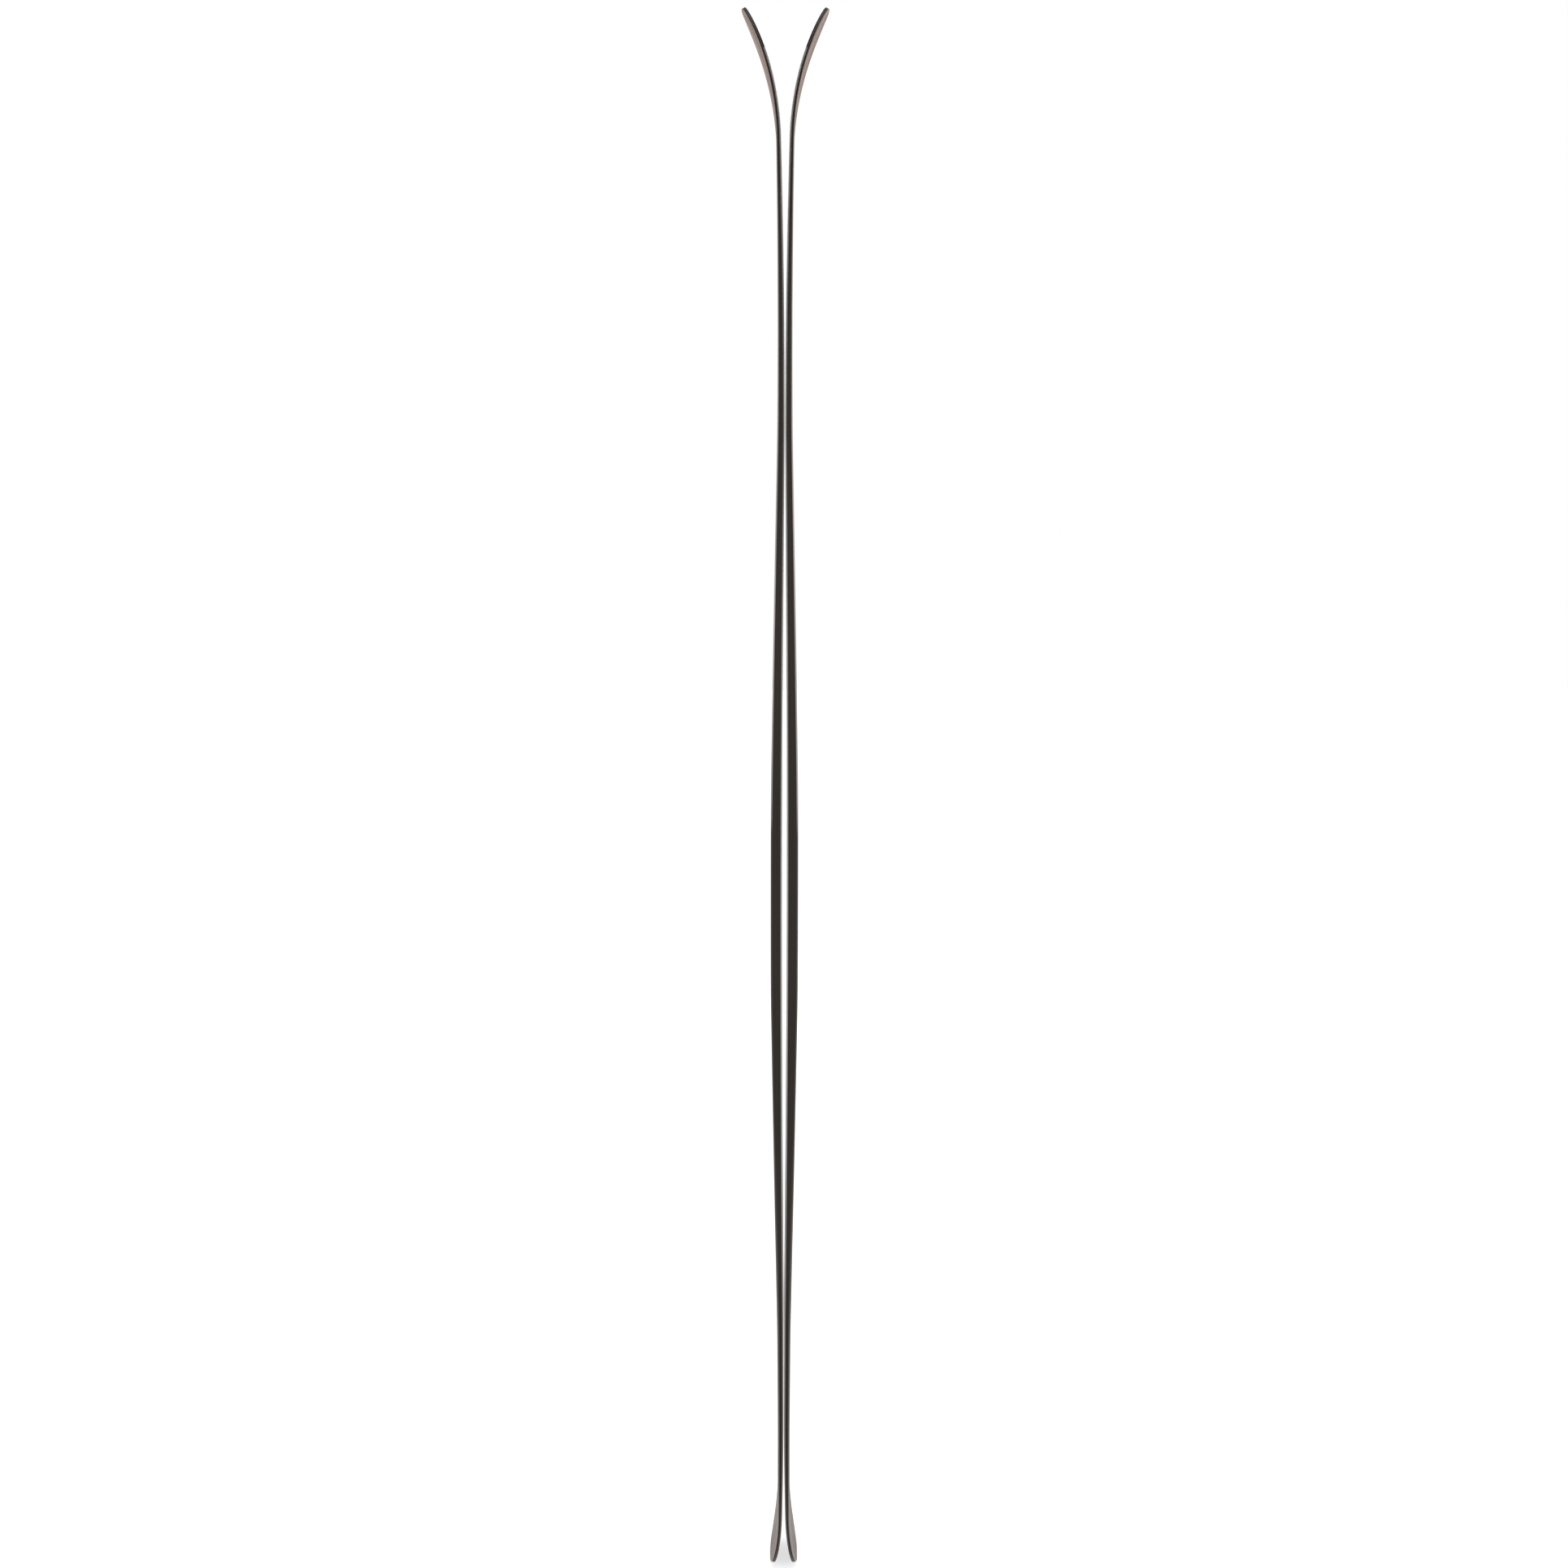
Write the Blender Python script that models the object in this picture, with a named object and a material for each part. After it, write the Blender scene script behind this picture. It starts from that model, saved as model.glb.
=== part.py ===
"""A pair of alpine skis without bindings, standing base to base with their tips up. Metres, +Z up.

Each ski is drawn once, in its own frame: +X out of the base towards the topsheet, Y across the ski,
+Z from the tail to the tip. It is a glued sandwich, so its pieces are layers that follow one outline and
one bent base line, and each layer's place is an inset from the outline and a height above the base.
The left ski is the right one turned half round about Z. On both, the -Y side is the inside one, the side
that faces the other leg in use.
"""

import math

import bmesh
import bpy
import numpy as np

# Length and outline, seen from above the topsheet. Lengths run from the tail's end or the tip's end.
SKI_HEIGHT = 1.84  # straight line from the tail's end to the tip's end
SHOVEL_WIDTH = 0.130
WAIST_WIDTH = 0.098
TAIL_WIDTH = 0.118
NOSE_LENGTH = 0.14  # from the widest place of the shovel to the tip's end
TAIL_END_LENGTH = 0.085  # from the widest place of the tail to the tail's end
WAIST_FROM_TAIL = 0.80
NOSE_POWERS = (3, 2.5)  # superellipse powers: along the ski, across it
TAIL_POWERS = (2.4, 3)
SIDECUT_EASING = 8  # power that straightens the sidecut arc where it runs into the widest places
END_ANGLE = math.radians(88)  # the outline stops here, 2 degrees short of its own end, in a short flat

# Base line, seen from the side: how far the base stands off the plane between the two skis.
REST_GAP = 0.0005  # between the two bases where they rest on each other
CAMBER = 0.0025  # height of the arch between the contact points
CAMBER_POWER = 1.25
FRONT_CONTACT_FROM_TIP = 0.46
CAMBER_END_FROM_TAIL = 0.31
REAR_CONTACT_FROM_TAIL = 0.21
FRONT_ROCKER_RADIUS = 11.5
SHOVEL_BEND_FROM_TIP = 0.146
SHOVEL_RADIUS = 0.317
TAIL_ROCKER_RADIUS = 5.6
KICK_FROM_TAIL = 0.078
KICK_RADIUS = 0.395

# Overall thickness. It is even over the binding platform and tapers both ways from there.
PLATFORM_FROM_TAIL = 0.725
PLATFORM_LENGTH = 0.24
PLATFORM_THICKNESS = 0.0133
FOREBODY_THICKNESS = 0.0087
FOREBODY_FROM_TIP = 0.49
SHOVEL_THICKNESS = 0.0055
SHOVEL_TAPER_FROM_TIP = 0.14
REARBODY_THICKNESS = 0.0078
TAIL_START_THICKNESS = 0.0066
TAIL_START_FROM_TAIL = 0.14
TAIL_TAPER_FROM_TAIL = 0.05

# Layers
GLUE = 0.0002  # glue line between any two layers
BASE_THICKNESS = 0.0013
EDGE_WIDTH = 0.002  # the steel that shows
ANCHOR_WIDTH = 0.006  # the steel edge with its hidden anchor
ANCHOR_THICKNESS = 0.0005
RUBBER_THICKNESS = 0.0002
RUBBER_SETBACK = 0.0002  # of the rubber foil from the outline
LAMINATE_THICKNESS = 0.0005
TOPSHEET_THICKNESS = 0.0005
RIM_WIDTH = 0.002  # of the bevel that runs round the topsheet
RIM_DROP = 0.0013  # of that bevel at the platform; it is in step with the thickness elsewhere
SIDEWALL_WIDTH = 0.007
STRINGER_WIDTH = 0.036  # the core's centre stringer
MAT_THICKNESS = 0.0006
MAT_OVERHANG = 0.03  # of the binding mat past each end of the platform
EDGE_END_FROM_TIP = 0.050
EDGE_END_FROM_TAIL = 0.035
TIP_SPACER_LENGTH = 0.11
TIP_SPACER_THICKNESS = 0.0007  # of its thin middle at the tip's end
TAIL_SPACER_LENGTH = 0.07
TAIL_SPACER_THICKNESS = 0.001  # the same at the tail's end
END_GAP = 0.0003  # between pieces that meet end to end

# Stations, the places along the ski where each layer gets a cross-section
NOSE_STATIONS = 13
TAIL_END_STATIONS = 8
STATION_SPACING = 0.095

# Heights that the layers share
EDGE_HEIGHT = BASE_THICKNESS + GLUE + ANCHOR_THICKNESS
RUBBER_BOTTOM = EDGE_HEIGHT + GLUE
DECK = RUBBER_BOTTOM + RUBBER_THICKNESS + GLUE  # where the core, sidewalls and spacers start
TOP_STACK = TOPSHEET_THICKNESS + GLUE + LAMINATE_THICKNESS + GLUE  # topsheet and upper laminate
TIP_THICKNESS = DECK + TIP_SPACER_THICKNESS + TOP_STACK
TAIL_THICKNESS = DECK + TAIL_SPACER_THICKNESS + TOP_STACK
CORE_INSET = SIDEWALL_WIDTH + GLUE

# Places along the ski
NOSE_START = SKI_HEIGHT - NOSE_LENGTH
PLATFORM_END = PLATFORM_FROM_TAIL + PLATFORM_LENGTH
EDGE_START = EDGE_END_FROM_TAIL
EDGE_END = SKI_HEIGHT - EDGE_END_FROM_TIP
CORE_START = TAIL_SPACER_LENGTH + END_GAP
CORE_END = SKI_HEIGHT - TIP_SPACER_LENGTH - END_GAP
MAT_START = PLATFORM_FROM_TAIL - MAT_OVERHANG
MAT_END = PLATFORM_END + MAT_OVERHANG

THICKNESS_PLACES = (
    (0, TAIL_THICKNESS),
    (TAIL_TAPER_FROM_TAIL, TAIL_THICKNESS),
    (TAIL_START_FROM_TAIL, TAIL_START_THICKNESS),
    (CAMBER_END_FROM_TAIL, REARBODY_THICKNESS),
    (PLATFORM_FROM_TAIL, PLATFORM_THICKNESS),
    (PLATFORM_END, PLATFORM_THICKNESS),
    (SKI_HEIGHT - FOREBODY_FROM_TIP, FOREBODY_THICKNESS),
    (SKI_HEIGHT - SHOVEL_TAPER_FROM_TIP, SHOVEL_THICKNESS),
    (SKI_HEIGHT, TIP_THICKNESS),
)


def superellipse(along, powers):
    """Half-width as a share, from 1 at along = 0 to nothing at along = 1."""
    return max(1 - along ** powers[0], 0) ** (1 / powers[1])


def sidecut(along):
    """Share of the widening from the waist (0) to the widest place (1), where it runs straight again."""
    easing = 2 / SIDECUT_EASING
    return (along**2 - easing * along**SIDECUT_EASING) / (1 - easing)


def half_width(z):
    shovel, waist, tail = SHOVEL_WIDTH / 2, WAIST_WIDTH / 2, TAIL_WIDTH / 2
    if z > NOSE_START:
        return shovel * superellipse((z - NOSE_START) / NOSE_LENGTH, NOSE_POWERS)
    if z > WAIST_FROM_TAIL:
        along = (z - WAIST_FROM_TAIL) / (NOSE_START - WAIST_FROM_TAIL)
        return waist + (shovel - waist) * sidecut(along)
    if z > TAIL_END_LENGTH:
        along = (WAIST_FROM_TAIL - z) / (WAIST_FROM_TAIL - TAIL_END_LENGTH)
        return waist + (tail - waist) * sidecut(along)
    return tail * superellipse(1 - z / TAIL_END_LENGTH, TAIL_POWERS)


def arc_rise(distance, radius):
    """Height of an arc at a distance past the place where it leaves the straight."""
    distance = max(distance, 0)
    return radius - math.sqrt(radius**2 - distance**2)


def camber(z):
    front = SKI_HEIGHT - FRONT_CONTACT_FROM_TIP
    along = (z - CAMBER_END_FROM_TAIL) / (front - CAMBER_END_FROM_TAIL)
    if not 0 < along < 1:
        return 0
    return CAMBER * (4 * along * (1 - along)) ** CAMBER_POWER


def base_line(z):
    """How far the base stands off the plane between the skis at height z."""
    return (
        camber(z)
        + arc_rise(z - (SKI_HEIGHT - FRONT_CONTACT_FROM_TIP), FRONT_ROCKER_RADIUS)
        + arc_rise(z - (SKI_HEIGHT - SHOVEL_BEND_FROM_TIP), SHOVEL_RADIUS)
        + arc_rise(REAR_CONTACT_FROM_TAIL - z, TAIL_ROCKER_RADIUS)
        + arc_rise(KICK_FROM_TAIL - z, KICK_RADIUS)
    )


def thickness(z):
    places, values = zip(*THICKNESS_PLACES)
    return float(np.interp(z, places, values))


def rim_drop(z):
    """Depth of the topsheet's bevel at height z."""
    return RIM_DROP * thickness(z) / PLATFORM_THICKNESS


def slope(curve, z, step=1e-5):
    return (curve(z + step) - curve(z - step)) / (2 * step)


def place(z, side, inset, height):
    """The point of the bent ski at an inset from its outline and a height above its base."""
    spread = slope(half_width, z)
    length = math.hypot(1, spread)
    across = half_width(z) - inset / length
    along = z + inset * spread / length
    lean = math.atan(slope(base_line, along))
    return (
        base_line(along) + height * math.cos(lean),
        side * across,
        along - height * math.sin(lean),
    )


def evenly(start, end):
    """Heights from start up to end, end left out, no further apart than STATION_SPACING."""
    steps = math.ceil((end - start) / STATION_SPACING)
    return [start + (end - start) * step / steps for step in range(steps)]


def all_stations():
    """Heights along the ski where its outline, base line or thickness needs a cross-section."""
    nose = [
        NOSE_START + NOSE_LENGTH * math.sin(END_ANGLE * step / NOSE_STATIONS)
        for step in range(1, NOSE_STATIONS + 1)
    ]
    tail_end = [
        TAIL_END_LENGTH * (1 - math.sin(END_ANGLE * step / TAIL_END_STATIONS))
        for step in range(1, TAIL_END_STATIONS + 1)
    ]
    breaks = [
        TAIL_END_LENGTH,
        TAIL_START_FROM_TAIL,
        REAR_CONTACT_FROM_TAIL,
        CAMBER_END_FROM_TAIL,
        MAT_START,
        PLATFORM_FROM_TAIL,
        PLATFORM_END,
        MAT_END,
        SKI_HEIGHT - FOREBODY_FROM_TIP,
        NOSE_START,
    ]
    breaks.sort()
    middle = []
    for start, end in zip(breaks, breaks[1:]):
        # The platform is one true flat, so it has no station inside it.
        middle += [start] if start == PLATFORM_FROM_TAIL else evenly(start, end)
    ends = [EDGE_START, CORE_START, CORE_END, EDGE_END]
    return sorted(tail_end + middle + [NOSE_START] + nose + ends)


STATIONS = all_stations()
FIRST, LAST = STATIONS[0], STATIONS[-1]


def stations_between(start, end, extra=()):
    """The shared stations from start to end, with start, end and any extra ones of this piece."""
    clear = 2 * END_GAP
    own = [start, end, *extra]
    shared = [z for z in STATIONS if start < z < end and all(abs(z - o) > clear for o in own)]
    return sorted(own + shared)


def loft(name, rings):
    """A closed mesh from one ring of points for each station, with its two ends capped."""
    bm = bmesh.new()
    loops = [[bm.verts.new(point) for point in ring] for ring in rings]
    for low, high in zip(loops, loops[1:]):
        for i in range(len(low)):
            j = (i + 1) % len(low)
            bm.faces.new((low[i], low[j], high[j], high[i]))
    bm.faces.new(loops[0])
    bm.faces.new(loops[-1])
    bmesh.ops.recalc_face_normals(bm, faces=bm.faces)
    mesh = bpy.data.meshes.new(name)
    bm.to_mesh(mesh)
    bm.free()
    return mesh


def plate(name, heights, half_section):
    """A layer that spans the ski. half_section(z) lists (inset, height), from its underside round to its top."""
    rings = []
    for z in heights:
        half = half_section(z)
        right = [place(z, 1, inset, height) for inset, height in half]
        left = [place(z, -1, inset, height) for inset, height in reversed(half)]
        rings.append(right + left)
    return loft(name, rings)


def strip(name, heights, side, section):
    """A layer along one side of the ski. section(z) lists (inset, height) all the way round it."""
    rings = [[place(z, side, inset, height) for inset, height in section(z)] for z in heights]
    return loft(name, rings)


def between_edges(z):
    """Whether the steel edges run past height z, with the gap that their ends keep."""
    return EDGE_START - END_GAP * 1.5 < z < EDGE_END + END_GAP * 1.5


def edge_end_stations():
    """Where a layer steps out to the outline just past each end of the steel edges."""
    return [EDGE_START - END_GAP, EDGE_START - 2 * END_GAP, EDGE_END + END_GAP, EDGE_END + 2 * END_GAP]


def base():
    def section(z):
        inset = EDGE_WIDTH + GLUE if between_edges(z) else 0
        return [(inset, 0), (inset, BASE_THICKNESS)]

    return plate("base", stations_between(FIRST, LAST, edge_end_stations()), section)


def lower_laminate():
    bottom = BASE_THICKNESS + GLUE
    top = DECK - GLUE

    def section(z):
        inset = ANCHOR_WIDTH + GLUE if between_edges(z) else 0
        return [(inset, bottom), (inset, top)]

    return plate("lower_laminate", stations_between(FIRST, LAST, edge_end_stations()), section)


def steel_edge(side):
    ring = [
        (0, 0),
        (0, EDGE_HEIGHT),
        (ANCHOR_WIDTH, EDGE_HEIGHT),
        (ANCHOR_WIDTH, EDGE_HEIGHT - ANCHOR_THICKNESS),
        (EDGE_WIDTH, EDGE_HEIGHT - ANCHOR_THICKNESS),
        (EDGE_WIDTH, 0),
    ]
    return strip("edge", stations_between(EDGE_START, EDGE_END), side, lambda z: ring)


def edge_rubber(side):
    top = RUBBER_BOTTOM + RUBBER_THICKNESS
    ring = [
        (RUBBER_SETBACK, RUBBER_BOTTOM),
        (RUBBER_SETBACK, top),
        (ANCHOR_WIDTH, top),
        (ANCHOR_WIDTH, RUBBER_BOTTOM),
    ]
    return strip("edge_rubber", stations_between(EDGE_START, EDGE_END), side, lambda z: ring)


def under_rim(z):
    """The outline under the topsheet's bevel: (inset, height) at the rim and where the bevel ends."""
    under = thickness(z) - TOPSHEET_THICKNESS - GLUE
    return [(0, under - rim_drop(z)), (RIM_WIDTH, under)]


def sidewall(side):
    def section(z):
        rim = under_rim(z)
        return [(0, DECK), *rim, (SIDEWALL_WIDTH, rim[1][1]), (SIDEWALL_WIDTH, DECK)]

    return strip("sidewall", stations_between(CORE_START, CORE_END), side, section)


def spacer(name, start, end):
    """A plate that fills one end of the ski, with a raised border in line with the sidewalls."""

    def section(z):
        rim = under_rim(z)
        return [(0, DECK), *rim, (SIDEWALL_WIDTH, rim[1][1]), (SIDEWALL_WIDTH, thickness(z) - TOP_STACK)]

    return plate(name, stations_between(start, end), section)


def core_top(z):
    """Height of the core's upper face, which is lower under the binding mat."""
    top = thickness(z) - TOP_STACK
    under_mat = MAT_START - END_GAP * 1.5 < z < MAT_END + END_GAP * 1.5
    return top - MAT_THICKNESS - GLUE if under_mat else top


def core_stations():
    pocket = [MAT_START - END_GAP, MAT_START - 2 * END_GAP, MAT_END + END_GAP, MAT_END + 2 * END_GAP]
    return stations_between(CORE_START, CORE_END, pocket)


def core_centre():
    def section(z):
        inset = half_width(z) - STRINGER_WIDTH / 2
        return [(inset, DECK), (inset, core_top(z))]

    return plate("core_centre", core_stations(), section)


def core_side(side):
    def section(z):
        inner = half_width(z) - STRINGER_WIDTH / 2 - GLUE
        top = core_top(z)
        return [(CORE_INSET, DECK), (CORE_INSET, top), (inner, top), (inner, DECK)]

    return strip("core_side", core_stations(), side, section)


def binding_mat():
    def section(z):
        top = thickness(z) - TOP_STACK
        return [(CORE_INSET, top - MAT_THICKNESS), (CORE_INSET, top)]

    return plate("binding_mat", stations_between(MAT_START, MAT_END), section)


def upper_laminate():
    def section(z):
        top = thickness(z) - TOPSHEET_THICKNESS - GLUE
        inset = CORE_INSET + GLUE
        return [(inset, top - LAMINATE_THICKNESS), (inset, top)]

    return plate("upper_laminate", stations_between(FIRST, LAST), section)


def topsheet():
    def section(z):
        top = thickness(z)
        rim = top - rim_drop(z)
        under = TOPSHEET_THICKNESS
        return [(RIM_WIDTH, top - under), (0, rim - under), (0, rim), (RIM_WIDTH, top)]

    return plate("topsheet", stations_between(FIRST, LAST), section)


def material(name, colour, roughness, metallic=0.0):
    made = bpy.data.materials.new(name)
    made.use_nodes = True
    shader = made.node_tree.nodes["Principled BSDF"]
    shader.inputs["Base Color"].default_value = (*colour, 1)
    shader.inputs["Roughness"].default_value = roughness
    shader.inputs["Metallic"].default_value = metallic
    return made


def ski_pieces():
    """Each piece of one ski as (name, side, mesh, material). Side 0 spans the ski."""
    topsheet_skin = material("topsheet_skin", (0.35, 0.28, 0.25), 0.55)
    black_plastic = material("black_plastic", (0.03, 0.027, 0.024), 0.5)
    base_plastic = material("base_plastic", (0.012, 0.012, 0.013), 0.4)
    steel = material("edge_steel", (0.55, 0.54, 0.52), 0.35, metallic=1.0)
    rubber = material("rubber_foil", (0.02, 0.02, 0.02), 0.8)
    glass_fibre = material("glass_fibre", (0.32, 0.34, 0.26), 0.5)
    pale_wood = material("pale_wood", (0.62, 0.46, 0.28), 0.7)
    dark_wood = material("dark_wood", (0.42, 0.27, 0.14), 0.7)
    mat_fibre = material("mat_fibre", (0.10, 0.10, 0.09), 0.7)
    tip_start = SKI_HEIGHT - TIP_SPACER_LENGTH
    pieces = [
        ("base", 0, base(), base_plastic),
        ("lower_laminate", 0, lower_laminate(), glass_fibre),
        ("core_centre", 0, core_centre(), dark_wood),
        ("tip_spacer", 0, spacer("tip_spacer", tip_start, LAST), black_plastic),
        ("tail_spacer", 0, spacer("tail_spacer", FIRST, TAIL_SPACER_LENGTH), black_plastic),
        ("binding_mat", 0, binding_mat(), mat_fibre),
        ("upper_laminate", 0, upper_laminate(), glass_fibre),
        ("topsheet", 0, topsheet(), topsheet_skin),
    ]
    for side in (-1, 1):
        pieces += [
            ("edge", side, steel_edge(side), steel),
            ("edge_rubber", side, edge_rubber(side), rubber),
            ("sidewall", side, sidewall(side), black_plastic),
            ("core_stringer", side, core_side(side), pale_wood),
        ]
    for _, _, mesh, finish in pieces:
        mesh.materials.append(finish)
    return pieces


def build_ski(name, turn, pieces, into):
    """One ski: an empty on its base line, turned about Z, with the pieces as its children."""
    frame = bpy.data.objects.new(name, None)
    frame.rotation_euler.z = turn
    frame.location.x = math.cos(turn) * REST_GAP / 2
    into.objects.link(frame)
    for piece, side, mesh, _ in pieces:
        where = "inside_" if side * math.cos(turn) < 0 else "outside_"
        obj = bpy.data.objects.new(f"{name}_{where if side else ''}{piece}", mesh)
        obj.parent = frame
        into.objects.link(obj)


def main():
    for obj in list(bpy.data.objects):
        bpy.data.objects.remove(obj)
    skis = bpy.data.collections.new("alpine_skis")
    bpy.context.scene.collection.children.link(skis)
    pieces = ski_pieces()
    build_ski("right_ski", 0, pieces, skis)
    build_ski("left_ski", math.pi, pieces, skis)


main()
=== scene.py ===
"""The looks of a pair of alpine skis that stand base to base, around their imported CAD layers.

The layers that show are drawn again here with a fine outline, rounded corners and tight seams, and
stand for their CAD nodes. The layers inside keep their CAD meshes. One ski is drawn in its own frame, as
in the CAD source, and placed twice: +X out of the base towards the topsheet, Y across the ski, +Z from the
tail to the tip. A point of a layer is given by its station along the ski, its inset from the outline and
its height above the base.
"""

import math

import bpy
import numpy as np
from mathutils import Matrix, Vector


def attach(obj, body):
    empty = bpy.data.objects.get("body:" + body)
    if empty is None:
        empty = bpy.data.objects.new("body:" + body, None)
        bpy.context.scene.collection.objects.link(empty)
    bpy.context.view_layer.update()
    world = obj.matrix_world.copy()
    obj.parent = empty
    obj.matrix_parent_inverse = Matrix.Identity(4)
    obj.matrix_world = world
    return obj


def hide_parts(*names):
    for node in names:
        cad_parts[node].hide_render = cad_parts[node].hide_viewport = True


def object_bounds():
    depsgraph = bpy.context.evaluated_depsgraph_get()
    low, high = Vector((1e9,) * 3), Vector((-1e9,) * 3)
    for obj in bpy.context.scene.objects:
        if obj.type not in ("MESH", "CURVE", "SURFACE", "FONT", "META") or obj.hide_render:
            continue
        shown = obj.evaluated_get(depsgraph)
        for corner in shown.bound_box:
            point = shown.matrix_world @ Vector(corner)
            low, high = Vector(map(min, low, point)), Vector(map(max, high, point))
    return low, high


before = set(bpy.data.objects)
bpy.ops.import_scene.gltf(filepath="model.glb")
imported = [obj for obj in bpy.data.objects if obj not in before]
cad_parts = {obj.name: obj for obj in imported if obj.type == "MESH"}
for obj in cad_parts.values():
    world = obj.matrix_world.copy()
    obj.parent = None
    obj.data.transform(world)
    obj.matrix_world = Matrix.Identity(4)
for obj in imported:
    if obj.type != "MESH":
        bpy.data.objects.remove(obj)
cad_low, cad_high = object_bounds()

# Sizes of the CAD layers, in metres. Lengths run from the tail's end or the tip's end.
SKI_HEIGHT = 1.84
SHOVEL_WIDTH = 0.130
WAIST_WIDTH = 0.098
TAIL_WIDTH = 0.118
NOSE_LENGTH = 0.14
TAIL_END_LENGTH = 0.085
WAIST_FROM_TAIL = 0.80
NOSE_POWERS = (3, 2.5)  # superellipse powers: along the ski, across it
TAIL_POWERS = (2.4, 3)
SIDECUT_EASING = 8
REST_GAP = 0.0005
CAMBER = 0.0025
CAMBER_POWER = 1.25
FRONT_CONTACT_FROM_TIP = 0.46
CAMBER_END_FROM_TAIL = 0.31
REAR_CONTACT_FROM_TAIL = 0.21
FRONT_ROCKER_RADIUS = 11.5
SHOVEL_BEND_FROM_TIP = 0.146
SHOVEL_RADIUS = 0.317
TAIL_ROCKER_RADIUS = 5.6
KICK_FROM_TAIL = 0.078
KICK_RADIUS = 0.395
PLATFORM_THICKNESS = 0.0133
THICKNESS_PLACES = (  # overall thickness along the ski
    (0, 0.0050),
    (0.05, 0.0050),
    (0.14, 0.0066),
    (CAMBER_END_FROM_TAIL, 0.0078),
    (0.725, PLATFORM_THICKNESS),
    (0.965, PLATFORM_THICKNESS),
    (SKI_HEIGHT - 0.49, 0.0087),
    (SKI_HEIGHT - 0.14, 0.0055),
    (SKI_HEIGHT, 0.0047),
)
BASE_THICKNESS = 0.0013
EDGE_WIDTH = 0.002
EDGE_HEIGHT = 0.002
ANCHOR_WIDTH = 0.006
ANCHOR_THICKNESS = 0.0005
DECK = 0.0026  # height at which the sidewalls and spacers start
TOPSHEET_THICKNESS = 0.0005
TOP_STACK = 0.0014  # topsheet, upper laminate and their glue
RIM_WIDTH = 0.002  # of the topsheet's bevel underfoot
RIM_DROP = 0.0013
SIDEWALL_WIDTH = 0.007
GLUE = 0.0002
EDGE_START = 0.035
EDGE_END = SKI_HEIGHT - 0.050
TIP_SPACER_LENGTH = 0.11
TAIL_SPACER_LENGTH = 0.07

# Fine detail
SEAM = 0.00005  # what is left open between neighbours
EDGE_TAPER = 0.008  # length over which a steel edge narrows to each end
EDGE_END_SHARE = 0.1  # of its width that is left there
INNER = 0.010  # inset at which a layer's rounded border turns into its flat middle
THICKNESS_EASE = 0.018  # half the length over which the taper's corners are rounded
RUBBER_INSET = 0.00012
END_ANGLE = math.radians(89.6)  # how far the stations go round the nose and the tail
NOSE_STATIONS = 64
TAIL_END_STATIONS = 44
STATION_SPACING = 0.009
TAPER_SPACING = 0.001
CORNER_STEPS = 4
CORNER_SUPPORT = 0.3  # how far past a rounded corner its support loop lies, as a share of the corner
SHARP_ANGLE = math.radians(50)

# How far each kind of corner is cut back before it is rounded
HAIRLINE_CUT = 0.00005
TOPSHEET_UNDER_CUT = 0.00008
TOPSHEET_SIDE_CUT = 0.00028
TOPSHEET_RIM_CUT = 0.4  # as a share of the rim
BASE_CUT = 0.0001
BASE_END_CUT = 0.0010  # added where no steel edge covers the base
LAMINATE_CUT = 0.0001
EDGE_GROUND_CUT = 0.00032
EDGE_TOP_CUT = 0.00012
PLASTIC_DECK_CUT = 0.0002
PLASTIC_RIM_CUT = 0.00018

NOSE_START = SKI_HEIGHT - NOSE_LENGTH

# Studio
SURROUND = 0.4  # brightness with which the surround lights the skis; the camera sees it at 1
FLOOR_REACH = 9.0
FLOOR_DROP = 0.0004  # how far the floor lies below the tails
FLOOR_GLOW = 0.7
SENSOR_WIDTH = 36
LENS = 53.56
CAMERA_PLACE = (-0.0006, -2.70, 1.40)
CAMERA_AIM = (-0.0006, 0, 0.9656)
CAMERA_ROLL = math.radians(0.07)


# ---------------------------------------------------------------- the bent frame of one ski


def superellipse(along, powers):
    """Half-width as a share, from 1 at along = 0 to nothing at along = 1."""
    return np.clip(1 - np.clip(along, 0, 1) ** powers[0], 0, 1) ** (1 / powers[1])


def sidecut(along):
    """Share of the widening from the waist (0) to the widest place (1)."""
    easing = 2 / SIDECUT_EASING
    along = np.clip(along, 0, 1)
    return (along**2 - easing * along**SIDECUT_EASING) / (1 - easing)


def half_width(z):
    shovel, waist, tail = SHOVEL_WIDTH / 2, WAIST_WIDTH / 2, TAIL_WIDTH / 2
    front = waist + (shovel - waist) * sidecut((z - WAIST_FROM_TAIL) / (NOSE_START - WAIST_FROM_TAIL))
    rear = waist + (tail - waist) * sidecut((WAIST_FROM_TAIL - z) / (WAIST_FROM_TAIL - TAIL_END_LENGTH))
    nose = shovel * superellipse((z - NOSE_START) / NOSE_LENGTH, NOSE_POWERS)
    tail_end = tail * superellipse(1 - z / TAIL_END_LENGTH, TAIL_POWERS)
    stretches = [z > NOSE_START, z > WAIST_FROM_TAIL, z > TAIL_END_LENGTH]
    return np.select(stretches, [nose, front, rear], tail_end)


def arc_rise(distance, radius):
    distance = np.maximum(distance, 0)
    return radius - np.sqrt(radius**2 - distance**2)


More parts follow.
